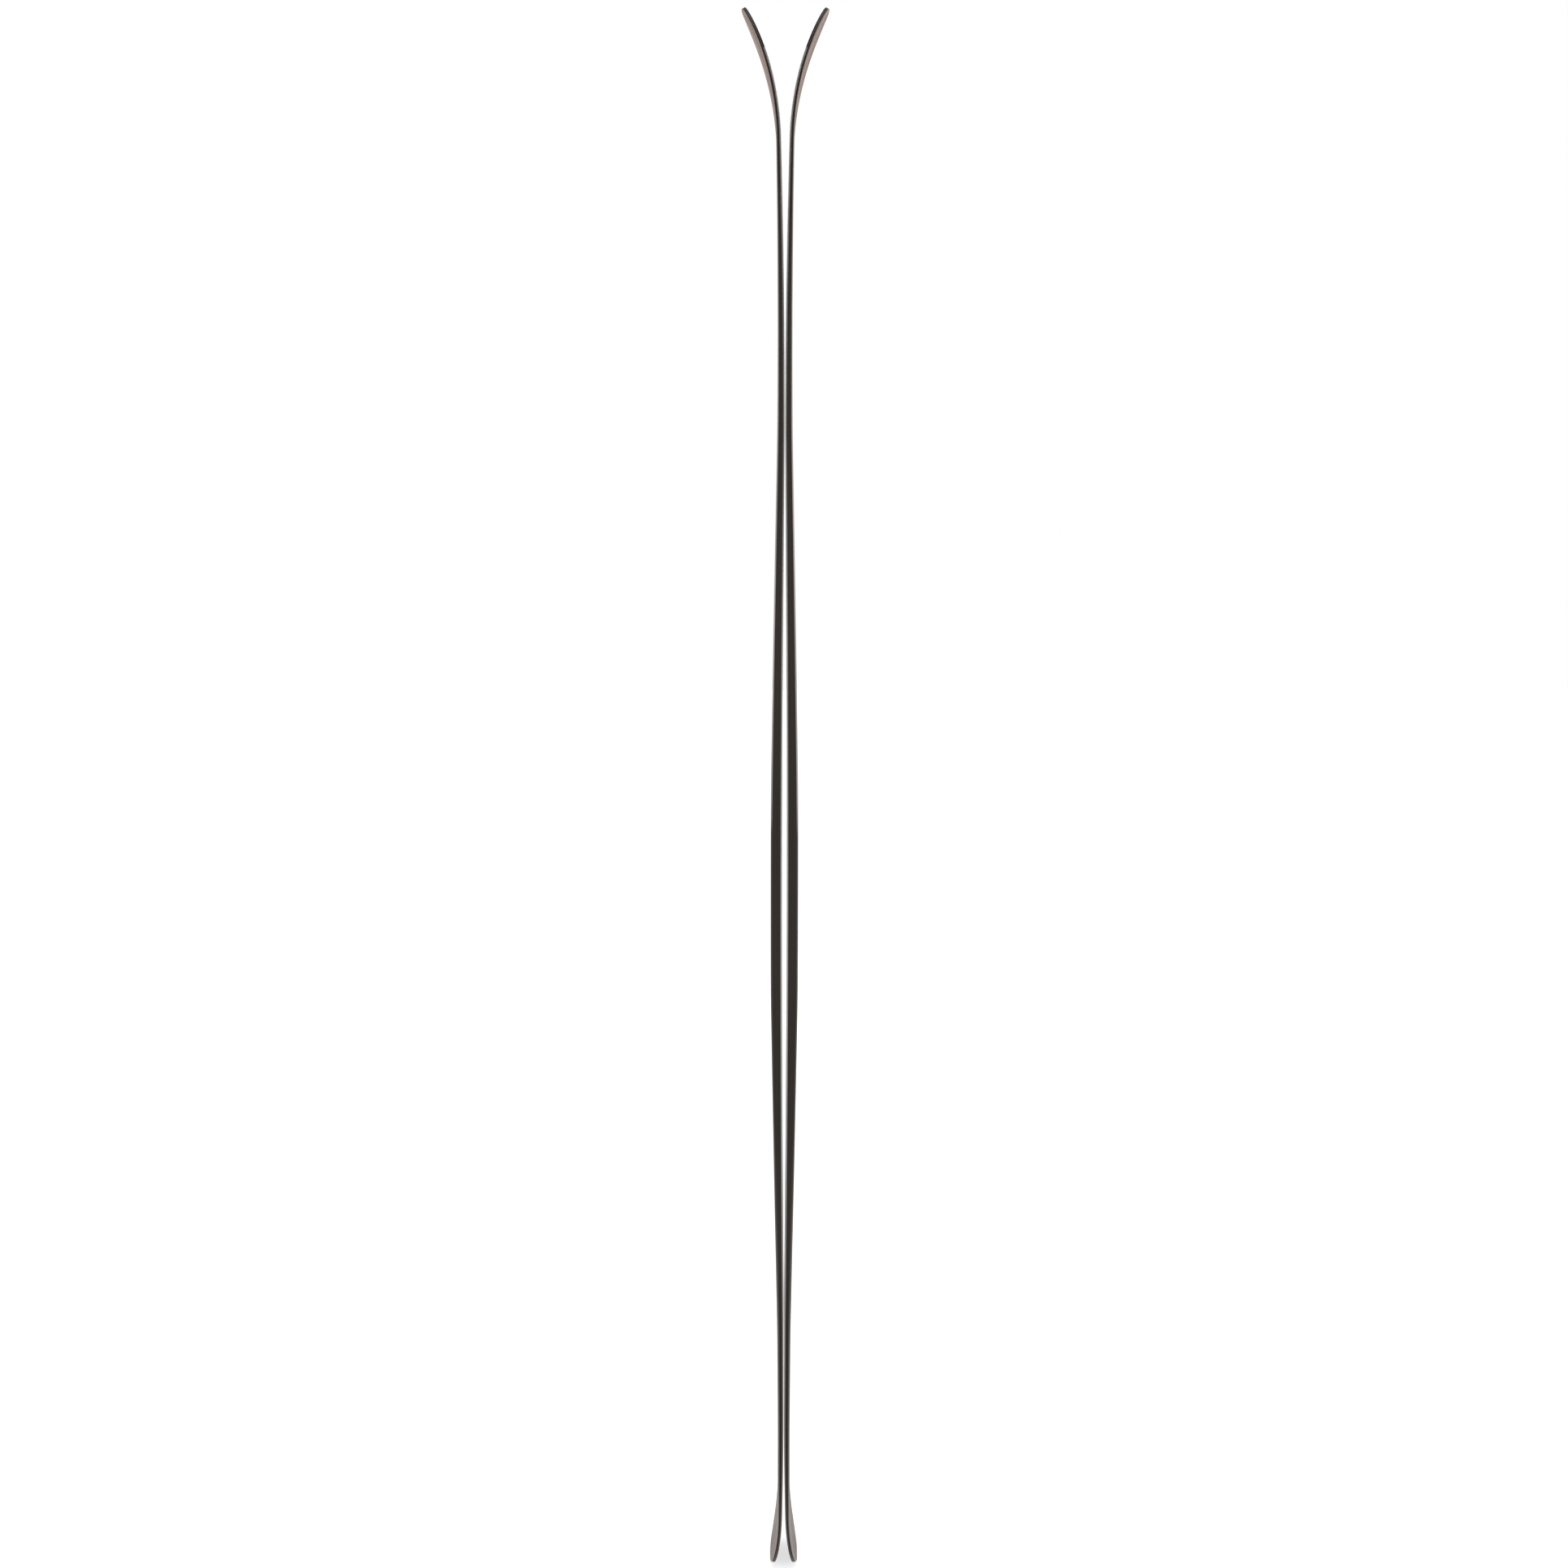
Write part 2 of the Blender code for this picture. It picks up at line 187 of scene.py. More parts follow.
def base_line(z):
    """How far the base stands off the plane between the skis at height z."""
    front = SKI_HEIGHT - FRONT_CONTACT_FROM_TIP
    along = np.clip((z - CAMBER_END_FROM_TAIL) / (front - CAMBER_END_FROM_TAIL), 0, 1)
    return (
        CAMBER * (4 * along * (1 - along)) ** CAMBER_POWER
        + arc_rise(z - front, FRONT_ROCKER_RADIUS)
        + arc_rise(z - (SKI_HEIGHT - SHOVEL_BEND_FROM_TIP), SHOVEL_RADIUS)
        + arc_rise(REAR_CONTACT_FROM_TAIL - z, TAIL_ROCKER_RADIUS)
        + arc_rise(KICK_FROM_TAIL - z, KICK_RADIUS)
    )


def thickness(z):
    """Overall thickness, with the corners of its taper rounded by a moving average."""
    places, values = zip(*THICKNESS_PLACES)
    shifts = np.linspace(-THICKNESS_EASE, THICKNESS_EASE, 9)
    return sum(np.interp(z + shift, places, values) for shift in shifts) / len(shifts)


def rim_width(z):
    """Width of the topsheet's bevel at height z."""
    return RIM_WIDTH * thickness(z) / PLATFORM_THICKNESS


def rim_drop(z):
    """Depth of that bevel."""
    return RIM_DROP * thickness(z) / PLATFORM_THICKNESS


def slope(curve, z, step=1e-5):
    return (curve(z + step) - curve(z - step)) / (2 * step)


def place(z, side, inset, height):
    """Points of the bent ski, one row for each station and one column for each point of the section."""
    spread = slope(half_width, z)
    length = np.hypot(1, spread)
    across = half_width(z) - inset / length
    along = z + inset * spread / length
    lean = np.arctan(slope(base_line, along))
    x = base_line(along) + height * np.cos(lean)
    return np.stack([x, side * across + 0 * x, along - height * np.sin(lean)], axis=-1)


def edge_share(z):
    """1 where the steel edges have their full width, easing to 0 at their two ends and beyond them."""
    near = np.clip(np.minimum(z - EDGE_START, EDGE_END - z) / EDGE_TAPER, 0, 1)
    return np.sqrt(1 - (1 - near) ** 2)


# ---------------------------------------------------------------- sections and sweeps


def stations(start, end):
    """Heights from start to end: close together where the outline turns and where the steel edges end."""
    turns = np.linspace(0, END_ANGLE, NOSE_STATIONS)
    nose = NOSE_START + NOSE_LENGTH * np.sin(turns)
    turns = np.linspace(0, END_ANGLE, TAIL_END_STATIONS)
    tail_end = TAIL_END_LENGTH * (1 - np.sin(turns))
    middle = np.arange(TAIL_END_LENGTH, NOSE_START, STATION_SPACING)
    tapers = np.arange(0, EDGE_TAPER, TAPER_SPACING)
    ends = [EDGE_START + tapers, EDGE_END - tapers, [EDGE_START - SEAM, EDGE_END + SEAM]]
    shared = np.unique(np.concatenate([tail_end, middle, nose, *ends]))
    low, high = max(start, tail_end[-1]), min(end, nose[-1])
    inner = shared[(shared > low + SEAM) & (shared < high - SEAM)]
    return np.concatenate([[low], inner, [high]])[:, None]


def rounded(corners, closed):
    """The section's points. Each corner is (inset, height, cut), and is rounded off by its cut both ways."""
    size = np.broadcast(*[value for corner in corners for value in corner]).shape
    points = [np.stack([np.broadcast_to(value, size) for value in corner[:2]], -1) for corner in corners]
    out = []
    for k, corner in enumerate(corners):
        at = points[k]
        cut = np.broadcast_to(corner[2], size)[..., None]
        if np.all(cut == 0) or (not closed and k in (0, len(corners) - 1)):
            out.append(at)
            continue
        legs = []
        for other in (points[k - 1], points[(k + 1) % len(points)]):
            leg = other - at
            legs.append(leg / np.maximum(np.linalg.norm(leg, axis=-1, keepdims=True), 1e-9))
        start, end = at + cut * legs[0], at + cut * legs[1]
        out.append(start + CORNER_SUPPORT * cut * legs[0])
        for t in np.linspace(0, 1, CORNER_STEPS + 1):
            out.append((1 - t) ** 2 * start + 2 * t * (1 - t) * at + t**2 * end)
        out.append(end + CORNER_SUPPORT * cut * legs[1])
    section = np.concatenate(out, axis=1)
    return section[..., 0], section[..., 1]


def add_map(mesh, name, values):
    """A UV map whose values are given for each vertex."""
    loops = np.empty(len(mesh.loops), np.int32)
    mesh.loops.foreach_get("vertex_index", loops)
    layer = mesh.uv_layers.new(name=name, do_init=False)
    layer.uv.foreach_set("vector", values[loops].astype(np.float32).ravel())


def cap(size, bridged):
    """The faces that close a sweep's end: one face, or, if bridged, a band between its mirrored sides."""
    if not bridged:
        return np.arange(size)[None]
    side = np.arange(size // 2 - 1)
    return np.stack([side, side + 1, size - 2 - side, size - 1 - side], -1)


def sweep(name, rings, across, along, inset, height, bridged=(False, False)):
    """A closed, smooth mesh through the rings.

    It has two maps: skin (across, along) in metres, and section (inset, height).
    """
    count, size = rings.shape[:2]
    x, y = rings[count // 2, :, 0], rings[count // 2, :, 1]
    clockwise = np.sum(x * np.roll(y, -1) - y * np.roll(x, -1)) < 0
    if clockwise:  # turned round, so that the faces look outwards
        rings, across, along, inset, height = (
            values[:, ::-1] for values in (rings, across, along, inset, height)
        )
    ring = np.arange(size)
    following = np.roll(ring, -1)
    start = (np.arange(count - 1) * size)[:, None]
    beyond = start + size
    quads = np.stack([start + ring, start + following, beyond + following, beyond + ring], -1)
    first = cap(size, bridged[0])[:, ::-1]
    last = cap(size, bridged[1]) + (count - 1) * size
    faces = quads.reshape(-1, 4).tolist() + first.tolist() + last.tolist()
    mesh = bpy.data.meshes.new(name)
    mesh.from_pydata(rings.reshape(-1, 3).tolist(), [], faces)
    add_map(mesh, "skin", np.stack([across + 0 * inset, along + 0 * inset], -1).reshape(-1, 2))
    add_map(mesh, "section", np.stack([inset, height], -1).reshape(-1, 2))
    mesh.shade_smooth()
    mesh.set_sharp_from_angle(angle=SHARP_ANGLE)
    return mesh


def plate(name, z, corners, border=1.0, level=1.0):
    """A layer that spans the ski. The corners run from its underside, out round its border, to its top.

    Its section map counts the inset in steps of border, and the height in steps of level.
    """
    inset, height = rounded(corners, closed=False)
    right = place(z, 1, inset, height)
    left = place(z, -1, inset, height)[:, ::-1]
    rings = np.concatenate([right, left], axis=1)
    inset = np.concatenate([inset, inset[:, ::-1]], axis=1)
    height = np.concatenate([height, height[:, ::-1]], axis=1)
    bridged = half_width(z[[0, -1], 0]) < INNER
    return sweep(name, rings, rings[..., 1], rings[..., 2], inset / border, height / level, bridged)


def strip(name, z, side, corners, level=1.0):
    """A layer along one side of the ski. The corners run all the way round it."""
    inset, height = rounded(corners, closed=True)
    rings = place(z, side, inset, height)
    return sweep(name, rings, height - inset, rings[..., 2], inset, height / level)


# ---------------------------------------------------------------- the layers that show


def topsheet():
    z = stations(0, SKI_HEIGHT)
    top, drop, rim = thickness(z), rim_drop(z), rim_width(z)
    skin = TOPSHEET_THICKNESS + GLUE - SEAM
    corners = [
        (INNER, top - skin, 0),
        (rim, top - skin, 0),
        (0, top - drop - skin, TOPSHEET_UNDER_CUT),
        (0, top - drop, TOPSHEET_SIDE_CUT),
        (rim, top, TOPSHEET_RIM_CUT * rim),
        (INNER, top, 0),
    ]
    return plate("topsheet", z, corners, border=rim)


def base():
    z = stations(0, SKI_HEIGHT)
    steel = edge_share(z)
    border = (EDGE_WIDTH + SEAM) * steel
    top = BASE_THICKNESS + GLUE - SEAM
    corners = [
        (INNER, top, 0),
        (border, top, HAIRLINE_CUT),
        (border, 0, BASE_CUT + BASE_END_CUT * (1 - steel)),
        (INNER, 0, 0),
    ]
    return plate("base", z, corners)


def lower_laminate():
    z = stations(0, SKI_HEIGHT)
    border = (ANCHOR_WIDTH + GLUE) * edge_share(z) + SEAM
    corners = [
        (INNER, BASE_THICKNESS + GLUE, 0),
        (border, BASE_THICKNESS + GLUE, LAMINATE_CUT),
        (border, DECK - SEAM, LAMINATE_CUT),
        (INNER, DECK - SEAM, 0),
    ]
    return plate("lower_laminate", z, corners)


def steel_edge(side):
    z = stations(EDGE_START, EDGE_END)
    share = np.maximum(edge_share(z), EDGE_END_SHARE)
    width, anchor = EDGE_WIDTH * share, ANCHOR_WIDTH * share
    corners = [
        (0, 0, EDGE_GROUND_CUT),
        (0, EDGE_HEIGHT, EDGE_TOP_CUT),
        (anchor, EDGE_HEIGHT, 0),
        (anchor, EDGE_HEIGHT - ANCHOR_THICKNESS, 0),
        (width, EDGE_HEIGHT - ANCHOR_THICKNESS, 0),
        (width, 0, HAIRLINE_CUT),
    ]
    return strip("edge", z, side, corners)


def edge_rubber(side):
    z = stations(EDGE_START, EDGE_END)
    anchor = ANCHOR_WIDTH * np.maximum(edge_share(z), EDGE_END_SHARE)
    low, high = EDGE_HEIGHT + SEAM / 2, DECK - SEAM / 2
    corners = [
        (RUBBER_INSET, low, HAIRLINE_CUT),
        (RUBBER_INSET, high, HAIRLINE_CUT),
        (anchor, high, 0),
        (anchor, low, 0),
    ]
    return strip("edge_rubber", z, side, corners)


def under_rim(z):
    """Heights, under the topsheet, of the outer corner and of the flat inside the bevel."""
    under = thickness(z) - TOPSHEET_THICKNESS - GLUE
    return under - rim_drop(z), under


def sidewall(side):
    z = stations(TAIL_SPACER_LENGTH + SEAM, SKI_HEIGHT - TIP_SPACER_LENGTH - SEAM)
    rim, under = under_rim(z)
    corners = [
        (0, DECK, PLASTIC_DECK_CUT),
        (0, rim, PLASTIC_RIM_CUT),
        (rim_width(z), under, 0),
        (SIDEWALL_WIDTH, under, 0),
        (SIDEWALL_WIDTH, DECK, 0),
    ]
    return strip("sidewall", z, side, corners, level=rim)


def spacer(name, start, end):
    z = stations(start, end)
    rim, under = under_rim(z)
    corners = [
        (INNER, DECK, 0),
        (0, DECK, PLASTIC_DECK_CUT),
        (0, rim, PLASTIC_RIM_CUT),
        (rim_width(z), under, 0),
        (SIDEWALL_WIDTH, under, 0),
        (SIDEWALL_WIDTH, thickness(z) - TOP_STACK, 0),
        (INNER, thickness(z) - TOP_STACK, 0),
    ]
    return plate(name, z, corners, level=rim)


# ---------------------------------------------------------------- materials


class Finish:
    """A Principled material, and short ways to build the nodes that feed it."""

    def __init__(self, name, **values):
        self.material = bpy.data.materials.new(name)
        self.material.use_nodes = True
        self.tree = self.material.node_tree
        self.shader = self.tree.nodes["Principled BSDF"]
        for socket, value in values.items():
            self.shader.inputs[socket.replace("_", " ")].default_value = value

    def node(self, kind, settings=None, **inputs):
        """A node, with its settings and inputs. An input is a value or another node's output."""
        made = self.tree.nodes.new("ShaderNode" + kind)
        for setting, value in (settings or {}).items():
            setattr(made, setting, value)
        for socket, value in inputs.items():
            self.feed(made.inputs[socket.replace("_", " ")], value)
        return made

    def feed(self, socket, value):
        if isinstance(value, bpy.types.NodeSocket):
            self.tree.links.new(value, socket)
        else:
            socket.default_value = value

    def skin(self, across, along, shift=0.0):
        """Where a point lies on the ski, counted in steps of so many metres across and along it."""
        where = self.node("UVMap", {"uv_map": "skin"}).outputs["UV"]
        return self.mapped(where, (1 / across, 1 / along, 1), shift)

    def inside(self, across, along, shift=0.0):
        """The same for a layer that keeps its CAD mesh, from its place in the object."""
        where = self.node("TexCoord").outputs["Object"]
        return self.mapped(where, (1 / across, 1 / across, 1 / along), shift)

    def mapped(self, where, scale, shift):
        """The place, scaled and then shifted by as much in each direction."""
        made = self.node("Mapping", Vector=where, Scale=scale, Location=(shift,) * 3)
        return made.outputs["Vector"]

    def share_along(self):
        """0 at the tail's end, 1 at the tip's end."""
        return self.node("SeparateXYZ", Vector=self.skin(1.0, SKI_HEIGHT)).outputs["Y"]

    def noise(self, vector, detail=2.0, roughness=0.5):
        made = self.node("TexNoise", Vector=vector, Scale=1.0, Detail=detail, Roughness=roughness)
        return made.outputs["Fac"]

    def ramp(self, share, *stops):
        """A colour ramp. Each stop is (position, (red, green, blue))."""
        made = self.node("ValToRGB", Fac=share)
        elements = made.color_ramp.elements
        while len(elements) < len(stops):
            elements.new(0.5)
        for element, (position, colour) in zip(elements, stops):
            element.position = position
            element.color = (*colour, 1)
        return made.outputs["Color"]

    def between(self, value, low, high, to_low=0.0, to_high=1.0):
        """The value's way from low to high, as a number from to_low to to_high."""
        made = self.node("MapRange", Value=value, From_Min=low, From_Max=high)
        made.inputs["To Min"].default_value = to_low
        made.inputs["To Max"].default_value = to_high
        return made.outputs["Result"]

    def mix(self, share, first, second, blend="MIX"):
        made = self.node("Mix", {"data_type": "RGBA", "blend_type": blend})
        colours = [socket for socket in made.inputs if socket.type == "RGBA"]
        self.feed(made.inputs["Factor"], share)
        self.feed(colours[0], first)
        self.feed(colours[1], second)
        return next(socket for socket in made.outputs if socket.type == "RGBA")

    def maths(self, operation, first, second=0.0):
        made = self.node("Math", {"operation": operation})
        self.feed(made.inputs[0], first)
        self.feed(made.inputs[1], second)
        return made.outputs["Value"]

    def section(self, part):
        """How far a point lies in from the outline (X) or up from the base (Y), in its layer's own steps."""
        where = self.node("UVMap", {"uv_map": "section"}).outputs["UV"]
        return self.node("SeparateXYZ", Vector=where).outputs[part]

    def colour(self, value):
        self.feed(self.shader.inputs["Base Color"], value)

    def roughness(self, value):
        self.feed(self.shader.inputs["Roughness"], value)

    def bump(self, height, depth, strength=1.0):
        """Bumps from height, whose full swing stands for depth metres."""
        made = self.node("Bump", Height=height, Distance=depth, Strength=strength)
        self.feed(self.shader.inputs["Normal"], made.outputs["Normal"])


def rim_shade(made):
    """Colour of the bevelled rim along the ski: dark under the boot, pale grey ahead of it, tan at both
    ends.
    """
    wander = made.between(made.noise(made.skin(0.02, 0.10, 13.0), 3), 0.2, 0.8, -0.06, 0.06)
    return made.ramp(
        made.maths("ADD", made.share_along(), wander),
        (0.05, (0.240, 0.198, 0.178)),
        (0.20, (0.120, 0.104, 0.094)),
        (0.30, (0.040, 0.034, 0.030)),
        (0.48, (0.035, 0.031, 0.027)),
        (0.53, (0.250, 0.232, 0.225)),
        (0.72, (0.290, 0.262, 0.255)),
        (0.84, (0.150, 0.118, 0.106)),
        (0.93, (0.210, 0.158, 0.140)),
    )


def topsheet_finish():
    """Matt lacquer over lengthwise streaks of tan, mauve and grey, with a bevelled rim of its own shade and
    a pale painted highlight line along the inner border of that bevel.
    """
    made = Finish("topsheet_streaks", Specular_IOR_Level=0.2)
    bands = made.noise(made.skin(0.015, 0.50), 4)
    streaks = made.noise(made.skin(0.0045, 0.25, 3.7), 4, 0.6)
    hairs = made.noise(made.skin(0.0010, 0.11, 9.1), 3, 0.65)
    broad = made.between(bands, 0.35, 0.65, 0.15, 0.45)
    tone = made.maths("ADD", broad, made.maths("MULTIPLY", streaks, 0.4))
    tan = made.ramp(
        tone,
        (0.38, (0.080, 0.052, 0.042)),
        (0.45, (0.180, 0.128, 0.110)),
        (0.53, (0.275, 0.197, 0.172)),
        (0.62, (0.420, 0.312, 0.274)),
    )
    grey = made.ramp(
        tone,
        (0.36, (0.060, 0.047, 0.039)),
        (0.49, (0.130, 0.106, 0.090)),
        (0.64, (0.225, 0.187, 0.162)),
    )
    wander = made.between(made.noise(made.skin(0.03, 0.16, 5.0)), 0, 1, -0.35, 0.35)
    drift = made.maths("ADD", made.share_along(), wander)
    greyness = made.ramp(drift, (0.0, (0.95,) * 3), (0.60, (0.75,) * 3), (0.88, (0.1,) * 3))
    colour = made.mix(greyness, tan, grey)
    colour = made.mix(made.between(hairs, 0.50, 0.66, 0.0, 0.7), colour, (0.075, 0.050, 0.041, 1))
    rust = made.between(made.noise(made.skin(0.004, 0.05, 21.0), 2), 0.70, 0.78, 0.0, 0.5)
    colour = made.mix(rust, colour, (0.27, 0.11, 0.07, 1))
    inset = made.section("X")
    # Painted highlight: a pale pink line along the inner border of the bevelled rim, from 0.85 to 1.5 rim
    # widths in
    cut = made.maths("MULTIPLY", made.between(inset, 0.85, 1.0), made.between(inset, 1.5, 1.2))
    colour = made.mix(made.maths("MULTIPLY", cut, 0.5), colour, (0.56, 0.46, 0.42, 1))
    rim = made.between(inset, 1.05, 0.85, 0.0, 0.9)
    made.colour(made.mix(rim, colour, rim_shade(made)))
    made.roughness(made.between(streaks, 0.3, 0.7, 0.46, 0.60))
    made.bump(made.maths("ADD", hairs, made.maths("MULTIPLY", streaks, 0.6)), 0.00003)
    return made.material


def black_plastic_finish():
    """Milled ABS: warm near-black, with painted shade that deepens it towards both ends, tool lines, and a
    pale band near the top of its outer face at the tail.
    """
    made = Finish("black_plastic", Specular_IOR_Level=0.18)
    lines = made.noise(made.skin(0.0004, 0.25), 3, 0.6)
    patches = made.noise(made.skin(0.02, 0.35, 4.0), 3)
    colour = made.ramp(lines, (0.3, (0.0120, 0.0096, 0.0074)), (0.7, (0.0290, 0.0240, 0.0195)))
    along = made.share_along()
    # Painted shade: the black goes deeper towards the tail's end and the tip's end
    depth = made.ramp(along, (0.0, (0.95,) * 3), (0.35, (0.2,) * 3), (0.80, (0.0,) * 3), (0.97, (0.8,) * 3))
    colour = made.mix(depth, colour, (0.0034, 0.0020, 0.0012, 1))
    # A pale band near the top of the outer face, over the rear third of the ski
    tail = made.ramp(along, (0.01, (0.0,) * 3), (0.04, (0.8,) * 3), (0.16, (0.6,) * 3), (0.30, (0.0,) * 3))
    pale_top_band = made.between(made.section("Y"), 0.78, 0.86)
    colour = made.mix(made.maths("MULTIPLY", tail, pale_top_band), colour, (0.130, 0.116, 0.106, 1))
    colour = made.mix(made.between(patches, 0.3, 0.7, 0.0, 0.4), colour, (0.0060, 0.0050, 0.0045, 1))
    scratch = made.between(made.noise(made.skin(0.0003, 0.02, 11.0), 2), 0.74, 0.80, 0.0, 0.6)
    made.colour(made.mix(scratch, colour, (0.07, 0.065, 0.06, 1)))
    made.roughness(made.between(patches, 0.3, 0.7, 0.42, 0.58))
    made.bump(lines, 0.00002)
    return made.material


def base_finish():
    """Sintered running base: black and waxed, with the fine straight grooves that the stone grinds in."""
    made = Finish("sintered_base", Specular_IOR_Level=0.2)
    grooves = made.node(
        "TexWave",
        {"wave_type": "BANDS", "bands_direction": "X", "wave_profile": "SIN"},
        Vector=made.skin(0.0009, 0.4),
        Scale=1.0,
        Distortion=1.5,
        Detail=2.0,
        Detail_Scale=1.0,
    ).outputs["Fac"]
    haze = made.noise(made.skin(0.02, 0.3, 2.0), 4, 0.6)
    colour = made.ramp(haze, (0.3, (0.0050, 0.0046, 0.0044)), (0.7, (0.0120, 0.0112, 0.0108)))
    scratch = made.between(made.noise(made.skin(0.0005, 0.06, 17.0), 2), 0.72, 0.78, 0.0, 0.5)
    made.colour(made.mix(scratch, colour, (0.06, 0.06, 0.06, 1)))
    made.roughness(made.between(haze, 0.3, 0.7, 0.30, 0.46))
    flat = made.between(made.section("X"), 0.001, 0.003)
    made.bump(made.maths("MULTIPLY", grooves, flat), 0.00003)
    return made.material


def steel_finish():
    """Ground carbon steel, with painted shade that darkens it up its side face and towards the tail,
    lengthwise grinding lines and a few brown specks.
    """
    made = Finish("ground_steel", Metallic=1.0)
    lines = made.noise(made.skin(0.00025, 0.09), 3, 0.7)
    dull = made.noise(made.skin(0.01, 0.05, 6.0), 3, 0.6)
    colour = made.ramp(lines, (0.25, (0.40, 0.385, 0.37)), (0.75, (0.68, 0.66, 0.64)))
    # Painted shade: the steel darkens up its side face, towards the rubber above it
    painted_shade_up_edge = made.between(made.section("Y"), EDGE_HEIGHT * 0.3, EDGE_HEIGHT * 0.95, 0.0, 0.85)
    colour = made.mix(painted_shade_up_edge, colour, (0.14, 0.125, 0.115, 1))
    # Painted shade: the steel darkens towards the tail and keeps its full brightness only near the tip
    painted_shade_to_tail = made.ramp(
        made.share_along(),
        (0.02, (0.22, 0.20, 0.19)),
        (0.12, (0.36, 0.34, 0.33)),
        (0.30, (0.68,) * 3),
        (0.78, (0.68,) * 3),
        (0.95, (1.0,) * 3),
    )
    colour = made.mix(1.0, colour, painted_shade_to_tail, "MULTIPLY")
    specks = made.between(made.noise(made.skin(0.0012, 0.003, 15.0), 3, 0.7), 0.70, 0.76, 0.0, 0.6)
    made.colour(made.mix(specks, colour, (0.20, 0.12, 0.07, 1)))
    made.roughness(made.between(dull, 0.3, 0.7, 0.22, 0.42))
    made.bump(lines, 0.00001)
    return made.material


def rubber_finish():
    made = Finish("edge_rubber", Specular_IOR_Level=0.2)
    grain = made.noise(made.skin(0.0004, 0.002), 4, 0.7)
    made.colour(made.ramp(grain, (0.3, (0.006, 0.006, 0.006)), (0.7, (0.016, 0.015, 0.015))))
    made.roughness(made.between(grain, 0.3, 0.7, 0.7, 0.9))
    made.bump(grain, 0.00002)
    return made.material


def fibre_finish(name, where, thread, dark, pale):
    """Glass or other cloth in resin: a plain weave whose threads cross at right angles."""
    made = Finish(name, Specular_IOR_Level=0.45)
    axes = made.node("SeparateXYZ", Vector=where(made, thread))
    turns = [made.maths("SINE", made.maths("MULTIPLY", axes.outputs[axis], math.pi)) for axis in "XYZ"]
    weave = made.maths("ABSOLUTE", made.maths("MULTIPLY", made.maths("ADD", turns[0], turns[1]), turns[1]))
    cloudy = made.noise(where(made, thread * 14), 3)
    tone = made.maths("ADD", made.maths("MULTIPLY", weave, 0.3), cloudy)
    made.colour(made.ramp(tone, (0.3, dark), (0.9, pale)))
    made.roughness(made.between(cloudy, 0.3, 0.7, 0.32, 0.5))
    made.bump(weave, thread * 0.05)
    return made.material


def wood_finish(name, dark, pale):
    """Laminated core wood, its grain running along the ski."""
    made = Finish(name, Specular_IOR_Level=0.3)
    grain = made.noise(made.inside(0.0018, 0.16), 5, 0.65)
    pores = made.noise(made.inside(0.0005, 0.012, 8.0), 2)
    colour = made.ramp(grain, (0.32, dark), (0.68, pale))
    colour = made.mix(made.between(pores, 0.6, 0.75, 0.0, 0.35), colour, (*[c * 0.45 for c in dark], 1))
    strips = made.noise(made.inside(0.011, 5.0, 2.0), 0)
    made.colour(made.mix(made.between(strips, 0.35, 0.65, 0.0, 0.3), colour, (*dark, 1)))
    made.roughness(made.between(grain, 0.3, 0.7, 0.6, 0.78))
    made.bump(grain, 0.00012)
    return made.material


def on_skin(made, size):
    return made.skin(size, size)


def within(made, size):
    return made.inside(size, size)


# ---------------------------------------------------------------- the two skis


def ski_layers():
    """(name, side, mesh, slot) of each piece that is drawn again. Its side is -1, 1, or 0 for none."""
    tip = SKI_HEIGHT - TIP_SPACER_LENGTH + SEAM
    layers = [
        ("topsheet", 0, topsheet(), "topsheet"),
        ("base", 0, base(), "base"),
        ("lower_laminate", 0, lower_laminate(), "laminate"),
        ("tip_spacer", 0, spacer("tip_spacer", tip, SKI_HEIGHT), "black_plastic"),
        ("tail_spacer", 0, spacer("tail_spacer", 0, TAIL_SPACER_LENGTH - SEAM), "black_plastic"),
    ]
    for side in (-1, 1):
        layers += [
            ("edge", side, steel_edge(side), "edge_steel"),
            ("edge_rubber", side, edge_rubber(side), "edge_rubber"),
            ("sidewall", side, sidewall(side), "black_plastic"),
        ]
    return layers


def shown_finishes():
    """The material of each slot whose layers are drawn again."""
    glass = fibre_finish("glass_fibre_edge", on_skin, 0.0008, (0.010, 0.008, 0.007), (0.042, 0.036, 0.031))
    return {
        "topsheet": topsheet_finish(),
        "black_plastic": black_plastic_finish(),
        "base": base_finish(),
        "edge_steel": steel_finish(),
        "edge_rubber": rubber_finish(),
        "laminate": glass,
    }


def hidden_finishes():
    """The material of each layer that keeps its CAD mesh, by the end of its name."""
    glass = fibre_finish("glass_fibre", within, 0.0016, (0.030, 0.030, 0.024), (0.115, 0.115, 0.095))
    return {
        "upper_laminate": glass,
        "binding_mat": fibre_finish("mat_fibre", within, 0.0012, (0.05, 0.05, 0.045), (0.16, 0.155, 0.14)),
        "core_centre": wood_finish("beech", (0.30, 0.17, 0.09), (0.52, 0.34, 0.20)),
        "core_stringer": wood_finish("poplar", (0.50, 0.37, 0.22), (0.72, 0.58, 0.39)),
    }


def place_ski(ski, turn, layers):
    """One ski of the pair, turned about the vertical, with its base half the gap off the middle."""
    facing = math.cos(turn)
    stand = Matrix.Translation((facing * REST_GAP / 2, 0, 0)) @ Matrix.Rotation(turn, 4, "Z")
    for layer, side, mesh, slot in layers:
        where = ("inside_" if side * facing < 0 else "outside_") if side else ""
        piece = bpy.data.objects.new(f"{ski}_{where}{layer}", mesh)
        bpy.context.scene.collection.objects.link(piece)
        piece.matrix_world = stand
        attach(piece, f"{ski}_ski")
        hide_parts(f"{ski}_ski_{where}{layer}")


